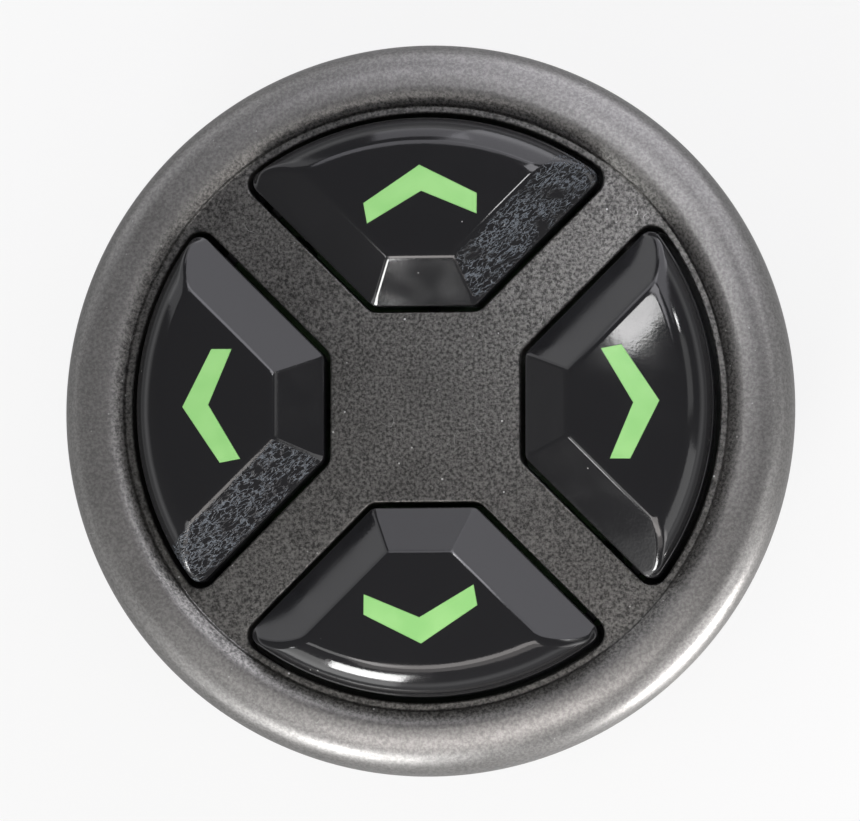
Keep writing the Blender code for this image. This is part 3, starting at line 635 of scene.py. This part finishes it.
def add_hook(bm, middle, degrees):
    """The L-shaped hook that holds a key in its opening."""
    section = [
        (-0.8, HOOK_LOW_Z),
        (1.1, HOOK_LOW_Z),
        (1.1, KEY_SKIRT_Z + 0.5 * MM),
        (0.08, KEY_SKIRT_Z + 0.5 * MM),
        (0.08, HOOK_LOW_Z + 0.7 * MM),
        (-0.8, HOOK_LOW_Z + 0.7 * MM),
    ]
    turn = Matrix.Translation((*middle, 0.0)) @ Matrix.Rotation(math.radians(degrees), 4, "Z")
    loft(bm, [[turn @ Vector((x * MM, y, z)) for x, z in section] for y in (0.3 * MM, -0.3 * MM)])


def chevron_outline(gap):
    """The legend's own outline, read from the CAD legend's top face, moved out by the gap."""
    top = span("legend_up")[1]
    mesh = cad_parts["legend_up"].data
    corners = {}
    for v in mesh.vertices:
        if abs(v.co.z - top) < 0.01 * MM:
            corners[(round(v.co.x, 7), round(v.co.y, 7))] = None
    points = sorted(corners, key=lambda p: p[0])
    # Anticlockwise: the arms' left ends, the inner apex, the right ends and the outer apex.
    left = sorted(points[:2], key=lambda p: -p[1])
    middle = sorted(points[2:4], key=lambda p: p[1])
    right = sorted(points[4:], key=lambda p: p[1])
    outline = [left[0], left[1], middle[0], right[0], right[1], middle[1]]
    grown = []
    for i, (x, y) in enumerate(outline):
        before = (Vector((x, y)) - Vector(outline[i - 1])).normalized()
        after = (Vector(outline[(i + 1) % 6]) - Vector((x, y))).normalized()
        a, b = Vector((before.y, -before.x)), Vector((after.y, -after.x))
        move = (a + b) * (gap / (1 + a.dot(b)))
        grown.append((x + move.x, y + move.y))
    return grown


def make_key(name, degrees, material):
    bm = bmesh.new()
    loft(bm, key_rings())
    key = new_object("keycap_" + name, bm)

    hollow = bmesh.new()
    plan = key_outline(KEY_SIDE + KEY_WALL, KEY_FLAT + KEY_WALL, KEY_ARC_R - KEY_WALL, KEY_FILLET)
    prism(hollow, plan, KEY_SKIRT_Z - MM, CEILING_Z)
    boolean(key, hollow, "DIFFERENCE")

    inside = bmesh.new()
    post_low = span("dome_up")[1] + 0.05 * MM
    add_cylinder(inside, 0, KEY_MIDDLE, KEY_POST_R, post_low, CEILING_Z + 0.5 * MM)
    add_hook(inside, (0.0, KEY_FLAT), 90)
    for mirror in (1, -1):
        x = (HOOK_ALONG - KEY_SIDE) / math.sqrt(2)
        y = (HOOK_ALONG + KEY_SIDE) / math.sqrt(2)
        add_hook(inside, (mirror * x, y), 90 + mirror * 45)
    boolean(key, inside, "UNION")

    slot = bmesh.new()
    prism(slot, chevron_outline(0.02 * MM), CEILING_Z - MM, PLATEAU_Z + MM)
    boolean(key, slot, "DIFFERENCE")
    key.data.transform(Matrix.Rotation(math.radians(degrees), 4, "Z"))
    smooth(key)
    return finished(key, material, "gloss_black", f"key_{name}_body", "key_" + name)


def dress(node, material, bevel=None):
    """A new material, and rounded edges if asked for, on a CAD node that stays."""
    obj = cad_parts[node]
    obj.data.materials.clear()
    obj.data.materials.append(material)
    if bevel:
        modifier = obj.modifiers.new("edges", "BEVEL")
        modifier.width = bevel
        modifier.segments = 2
        modifier.limit_method = "ANGLE"
        modifier.angle_limit = math.radians(40)
        modifier.harden_normals = False


def make_housing(material):
    """The threaded cup, with the same posts, window, keyway and counterbores as the CAD node."""
    low_z, high_z = span("rear_housing")
    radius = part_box("rear_housing")[1].x
    steps, pitch, depth, turns, start_z = 192, 2.0 * MM, 0.6 * MM, 5, 0.9 * MM
    end_z = start_z + turns * pitch
    edge = 0.3 * MM
    rings = [circle(r, z, steps) for r, z in ((radius - edge, low_z), (radius, low_z + edge))]
    rows_per_turn = 16
    for row in range(turns * rows_per_turn + 1):
        z = start_z + row * pitch / rows_per_turn
        ring = []
        for i in range(steps):
            a = 2 * math.pi * i / steps
            run_out = min(1.0, (z - start_z) / pitch, (end_z - z) / pitch)
            phase = ((z - start_z) / pitch - i / steps) % 1.0
            # A 60 degree thread with small flats on its crest and in its root.
            wave = min(1.0, max(0.0, 2.4 * min(phase, 1 - phase) - 0.1))
            r = radius - depth * run_out * wave
            ring.append((r * math.cos(a), r * math.sin(a), z))
        rings.append(ring)
    rings.append(circle(radius, high_z - 0.2 * MM, steps))
    rings.append(circle(radius - 0.2 * MM, high_z, steps))
    bm = bmesh.new()
    loft(bm, rings)
    housing = new_object("housing", bm)

    hollow, posts, cuts, sinks = bmesh.new(), bmesh.new(), bmesh.new(), bmesh.new()
    add_cylinder(hollow, 0, 0, CUP_R, CUP_FLOOR_Z, high_z + MM, steps=steps)
    for quadrant in range(4):
        x, y = on_diagonal(quadrant, SCREW_CIRCLE)
        add_cylinder(posts, x, y, POST_R, CUP_FLOOR_Z / 2, POST_TOP_Z)
        add_cylinder(cuts, x, y, CLEARANCE_R, -MM, POST_TOP_Z + 1.5 * MM)
        sink = [(SINK_R + 0.6 * MM, -MM), (SINK_R, 0.0), (SINK_R, SINK_DEPTH)]
        turned(sinks, sink, 48, (x, y))
    half_x, half_y = WINDOW_HALF
    flare = 0.2 * MM
    window = []
    for grow, z in ((MM, flare - MM), (0.0, flare), (0.0, CUP_FLOOR_Z + MM)):
        x, y = half_x + grow, half_y + grow
        window.append([(-x, -y, z), (x, -y, z), (x, y, z), (-x, y, z)])
    loft(cuts, window)
    low_corner = (-KEYWAY_HALF, -radius - MM, -MM)
    add_box(cuts, low_corner, (KEYWAY_HALF, KEYWAY_DEPTH - radius, KEYWAY_HIGH_Z))
    boolean(housing, hollow, "DIFFERENCE")
    boolean(housing, posts, "UNION")
    boolean(housing, cuts, "DIFFERENCE")
    boolean(housing, sinks, "DIFFERENCE")
    smooth(housing, 25)
    return finished(housing, material, "housing_black", BASE, "rear_housing")


def notch_depth(angle):
    """How far the nut's side is pushed in at an angle."""
    half = math.radians(4.2)
    pitch = 2 * math.pi / NUT_NOTCHES
    off = abs((angle % pitch) - 0.5 * pitch)
    return NUT_NOTCH_DEPTH * max(0.0, math.cos(min(1.0, off / half) * math.pi / 2)) ** 0.7


def make_nut(material):
    """The ring nut, with rounded notches and rounded edges."""
    low_z, high_z = span("ring_nut")
    outer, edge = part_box("ring_nut")[1].x, 0.4 * MM
    inside = NUT_BORE_R + edge
    section = rounded([(inside, low_z), (outer, low_z), (outer, high_z), (inside, high_z)], 0.45 * MM)
    section += [(NUT_BORE_R, high_z - edge), (NUT_BORE_R, low_z + edge)]
    notched_from = NUT_BORE_R + 1.2 * MM  # the notches fade out towards the bore
    steps = 288
    rings = []
    for r, z in section:
        side = max(0.0, min(1.0, (r - notched_from) / (outer - notched_from)))
        ring = []
        for i in range(steps):
            a = 2 * math.pi * i / steps
            radius = r - notch_depth(a) * side
            ring.append((radius * math.cos(a), radius * math.sin(a), z))
        rings.append(ring)
    bm = bmesh.new()
    ring_loft(bm, rings)
    nut = new_object("nut", bm)
    smooth(nut)
    return finished(nut, material, "housing_black", BASE, "ring_nut")


def make_gasket(material):
    low_z, high_z = span("panel_gasket")
    inner, outer = GASKET_INNER_R, GASKET_OUTER_R
    section = [(inner, high_z), (inner, low_z), (outer, low_z), (outer, high_z)]
    bm = bmesh.new()
    turned_ring(bm, rounded(section, 0.22 * MM), 192)
    gasket = new_object("gasket", bm)
    smooth(gasket)
    return finished(gasket, material, "seal_rubber", BASE, "panel_gasket")


def make_screw(index, material):
    """A pan-head screw with a cross recess and a real helical thread."""
    node = f"housing_screw_{index}"
    low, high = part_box(node)
    x, y = (low.x + high.x) / 2, (low.y + high.y) / 2
    head_r, shank_r = (high.x - low.x) / 2, 0.95 * MM
    head_top = 1.55 * MM
    steps, pitch, rows = 32, 0.6 * MM, 8
    dome = [(0.5, 0.0), (0.7, 0.04), (0.84, 0.12), (0.94, 0.24), (1.0, 0.42)]
    rings = [circle(head_r * r, low.z + MM * z, steps) for r, z in dome]
    rings += [circle(head_r, head_top, steps), circle(shank_r * 0.8, head_top + 0.01 * MM, steps)]
    thread_low, thread_high = head_top + 0.3 * MM, high.z - 0.5 * MM
    count = int((thread_high - thread_low) / pitch * rows)
    for row in range(count + 1):
        z = thread_low + row * pitch / rows
        ring = []
        for i in range(steps):
            a = 2 * math.pi * i / steps
            phase = ((z - thread_low) / pitch - i / steps) % 1.0
            r = shank_r * (0.78 + 0.22 * max(0.0, 1 - 3.2 * min(phase, 1 - phase)))
            ring.append((r * math.cos(a), r * math.sin(a), z))
        rings.append(ring)
    rings.append(circle(shank_r * 0.7, high.z - 0.15 * MM, steps))
    rings.append(circle(shank_r * 0.35, high.z, steps))
    bm = bmesh.new()
    loft(bm, rings)
    screw = new_object(f"screw_{index}", bm)
    arm, wide, narrow, depth = 1.05 * MM, 0.24 * MM, 0.1 * MM, low.z + 0.8 * MM
    cross = ((arm * 1.3, wide * 1.2, -MM), (arm, wide, low.z), (arm * 0.5, narrow, depth))
    for turn in (0, 90):
        rings = []
        for a, b, z in cross:
            corners = turned_about_z([(-a, -b), (a, -b), (a, b), (-a, b)], turn)
            rings.append([(px, py, z) for px, py in corners])
        recess = bmesh.new()
        loft(recess, rings)
        boolean(screw, recess, "DIFFERENCE")
    turn = Matrix.Translation((x, y, 0.0)) @ Matrix.Rotation(0.5 + 0.8 * index, 4, "Z")
    screw.data.transform(turn)
    smooth(screw)
    return finished(screw, material, "steel", BASE, node)


def make_dome(name, degrees, material):
    """A rubber dome under its key, of the kind that flattens when the key is pressed."""
    low_z, high_z = span("dome_up")
    foot, crown, skin = 2.6 * MM, 1.95 * MM, 0.45 * MM
    boss_z = span("contact_pill_up")[1] + 0.05 * MM
    hem = low_z + 0.4 * MM
    roof_z = high_z - 0.8 * MM
    waist = [(foot, low_z), (foot, hem), (foot - 0.2 * MM, hem), (crown, high_z), (1.0 * MM, high_z)]
    outer = rounded(waist, 0.12 * MM)
    boss = [(1.1 * MM, boss_z), (1.1 * MM, roof_z), (crown - skin, roof_z), (foot - skin, low_z)]
    inner = rounded(boss, 0.1 * MM)
    bm = bmesh.new()
    turned(bm, inner + outer, 48)
    dome = new_object("rubber_dome_" + name, bm)
    turn = Matrix.Rotation(math.radians(degrees), 4, "Z")
    place = turn @ Matrix.Translation((0.0, KEY_MIDDLE, 0.0))
    dome.data.transform(place)
    smooth(dome)
    finished(dome, material, "silicone_grey", BASE, "dome_" + name)
    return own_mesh(dome)


# ---- light, floor and camera ------------------------------------------------------------------
def direction(azimuth, elevation):
    """Unit vector towards an azimuth, anticlockwise from +X seen from above, and an elevation."""
    a, e = math.radians(azimuth), math.radians(elevation)
    return Vector((math.cos(a) * math.cos(e), math.sin(a) * math.cos(e), math.sin(e)))


def softbox(name, azimuth, elevation, distance, size, radiance, color):
    """An area light that faces the pad, given by the radiance of its surface."""
    light = bpy.data.lights.new(name, "AREA")
    light.shape = "RECTANGLE"
    light.size, light.size_y = size
    light.energy = radiance * math.pi * size[0] * size[1]
    light.color = color
    obj = bpy.data.objects.new(name, light)
    bpy.context.scene.collection.objects.link(obj)
    target = Vector((0.0, 0.0, FLOOR_Z))
    obj.location = target + direction(azimuth, elevation) * distance
    obj.rotation_euler = (target - obj.location).to_track_quat("-Z", "Y").to_euler()
    obj.visible_camera = False


LIGHTS = [  # name, azimuth, elevation, distance, (width, height), radiance, colour
    ("window", 62, 22, 0.300, (0.300, 0.360), 1.9, (0.94, 0.93, 1.0)),
    ("window_near", 54, 58, 0.045, (0.018, 0.014), 4.4, (0.96, 0.95, 1.0)),
    ("top_near", 92, 45, 0.045, (0.032, 0.014), 1.8, (0.94, 0.93, 1.0)),
    ("top_wall", 97, 16, 0.400, (0.120, 0.160), 1.4, (0.94, 0.93, 1.0)),
    ("lamp", 251, 20, 0.250, (0.070, 0.075), 24.0, (1.0, 1.0, 0.99)),
    ("lamp_glow", 240, 8, 0.300, (0.200, 0.160), 2.2, (1.0, 1.0, 0.99)),
    ("ridge_lamp", 218, 29, 0.300, (0.030, 0.030), 14.0, (1.0, 1.0, 1.0)),
    ("lower_near", 240, 48, 0.042, (0.016, 0.010), 2.6, (1.0, 1.0, 0.99)),
    ("bottom_near", 277, 50, 0.042, (0.030, 0.016), 4.4, (1.0, 0.95, 0.93)),
    ("bottom_wall", 272, 44, 0.250, (0.180, 0.070), 1.6, (1.0, 0.95, 0.93)),
    ("table_glint", 315, -20, 0.200, (0.080, 0.040), 46.0, (1.0, 0.98, 0.97)),
    ("edge_near", 318, 14, 0.056, (0.026, 0.014), 2.6, (1.0, 0.98, 0.97)),
    ("right_wall", 338, 20, 0.400, (0.220, 0.160), 1.6, (1.0, 1.0, 1.0)),
    ("right_fill", 12, 34, 0.300, (0.080, 0.060), 0.9, (1.0, 1.0, 1.0)),
    ("corner_spark", 25, 34, 0.300, (0.012, 0.012), 60.0, (1.0, 1.0, 1.0)),
    ("left_wall", 138, 20, 0.400, (0.260, 0.240), 0.9, (0.97, 0.97, 1.0)),
    ("plateau_glow", 39, 67, 0.031, (0.003, 0.005), 15.0, (1.0, 1.0, 1.0)),
]


def make_lights():
    for light in LIGHTS:
        softbox(*light)


def make_world():
    """Pale to the camera, and to everything else a grey room, brighter towards the horizon."""
    world = bpy.data.worlds.new("studio")
    bpy.context.scene.world = world
    world.use_nodes = True
    tree = world.node_tree
    background = tree.nodes["Background"]
    sky = tree.nodes.new("ShaderNodeTexCoord")
    height = tree.nodes.new("ShaderNodeSeparateXYZ")
    tree.links.new(sky.outputs["Generated"], height.inputs[0])
    share = tree.nodes.new("ShaderNodeMapRange")
    share.inputs["From Min"].default_value = -1.0
    tree.links.new(height.outputs["Z"], share.inputs["Value"])
    room = tree.nodes.new("ShaderNodeValToRGB")
    for place in (0.5, 0.54, 0.61):
        room.color_ramp.elements.new(place)
    room.color_ramp.elements[0].position = 0.42
    for element, grey in zip(room.color_ramp.elements, (0.40, 1.10, 0.90, 0.17, 0.13)):
        element.color = (grey, grey, 1.01 * grey, 1.0)
    tree.links.new(share.outputs["Result"], room.inputs["Fac"])
    path = tree.nodes.new("ShaderNodeLightPath")
    mix = tree.nodes.new("ShaderNodeMix")
    mix.data_type = "RGBA"
    tree.links.new(room.outputs["Color"], mix.inputs[6])
    mix.inputs[7].default_value = (0.93, 0.93, 0.93, 1.0)
    tree.links.new(path.outputs["Is Camera Ray"], mix.inputs["Factor"])
    tree.links.new(mix.outputs[2], background.inputs["Color"])


def make_floor():
    """A pale table that glows a little, so that the shadows on it stay faint."""
    bm = bmesh.new()
    half = 3.0
    corners = ((-half, -half), (half, -half), (half, half), (-half, half))
    bm.faces.new([bm.verts.new((x, y, -0.02 * MM)) for x, y in corners])
    floor = new_object("floor", bm)
    m = Material("floor", (0.10, 0.10, 0.10), 1.0)
    m.put("Specular IOR Level", 0.0)
    m.put("Emission Color", (1.0, 1.0, 1.0, 1.0))
    m.put("Emission Strength", 0.85)
    floor.data.materials.append(m.made)
    floor.visible_glossy = False
    floor.visible_diffuse = False
    floor.visible_shadow = False


def make_camera():
    """Almost straight above the pad, a little to the right of its axis and below it."""
    data = bpy.data.cameras.new("camera")
    camera = bpy.data.objects.new("camera", data)
    bpy.context.scene.collection.objects.link(camera)
    bpy.context.scene.camera = camera
    data.sensor_width = 36.0
    data.lens = data.sensor_width * CAMERA_DISTANCE * DISC_SHARE / (2 * BEZEL_R)
    data.clip_start, data.clip_end = 0.01, 20.0
    target = Vector((0.0, 0.0, 13.0 * MM))
    back = Vector((0.120, -0.085, 1.0)).normalized()
    camera.location = target + back * CAMERA_DISTANCE
    side = Vector((0.0, 1.0, 0.0)).cross(back).normalized()
    axes = Matrix((side, back.cross(side), back)).transposed()
    camera.rotation_euler = axes.to_euler()


def main():
    make_bezel(bezel_paint())
    black = gloss_black()
    green = legend_green()
    silicone = moulded("silicone_grey", (0.45, 0.46, 0.47), 0.55)
    carbon = moulded("carbon", (0.012, 0.012, 0.012), 0.7)
    gold = metal("gold", (0.83, 0.62, 0.25), 0.3, 0)
    white = moulded("led_white", (0.82, 0.82, 0.78), 0.4)
    for name, degrees in DIRECTIONS.items():
        make_key(name, degrees, black)
        dress("legend_" + name, green)
        make_dome(name, degrees, silicone)
        dress("contact_pill_" + name, carbon, 0.08 * MM)
        dress("contact_pad_" + name, gold)
        dress("led_" + name, white, 0.06 * MM)
    housing = moulded("housing_black", (0.022, 0.022, 0.023), 0.5)
    make_housing(housing)
    make_nut(housing)
    make_gasket(moulded("seal_rubber", (0.018, 0.018, 0.018), 0.75))
    dress("keypad_mat", silicone)
    dress("circuit_board", board_green())
    dress("connector_shell", moulded("connector_white", (0.74, 0.71, 0.63), 0.45), 0.05 * MM)
    tin = metal("tin", (0.75, 0.75, 0.73), 0.25, 2)
    steel = metal("steel", (0.56, 0.56, 0.57), 0.3, 2)
    ceramic = moulded("resistor_black", (0.03, 0.03, 0.03), 0.45)
    for i in range(1, 7):
        dress(f"connector_pin_{i}", tin)
    for i in range(1, 5):
        make_screw(i, steel)
        dress(f"resistor_{i}", ceramic, 0.05 * MM)
    make_floor()
    make_world()
    make_lights()
    make_camera()
    bpy.context.scene.view_settings.view_transform = "Standard"
    bpy.context.view_layer.update()


main()
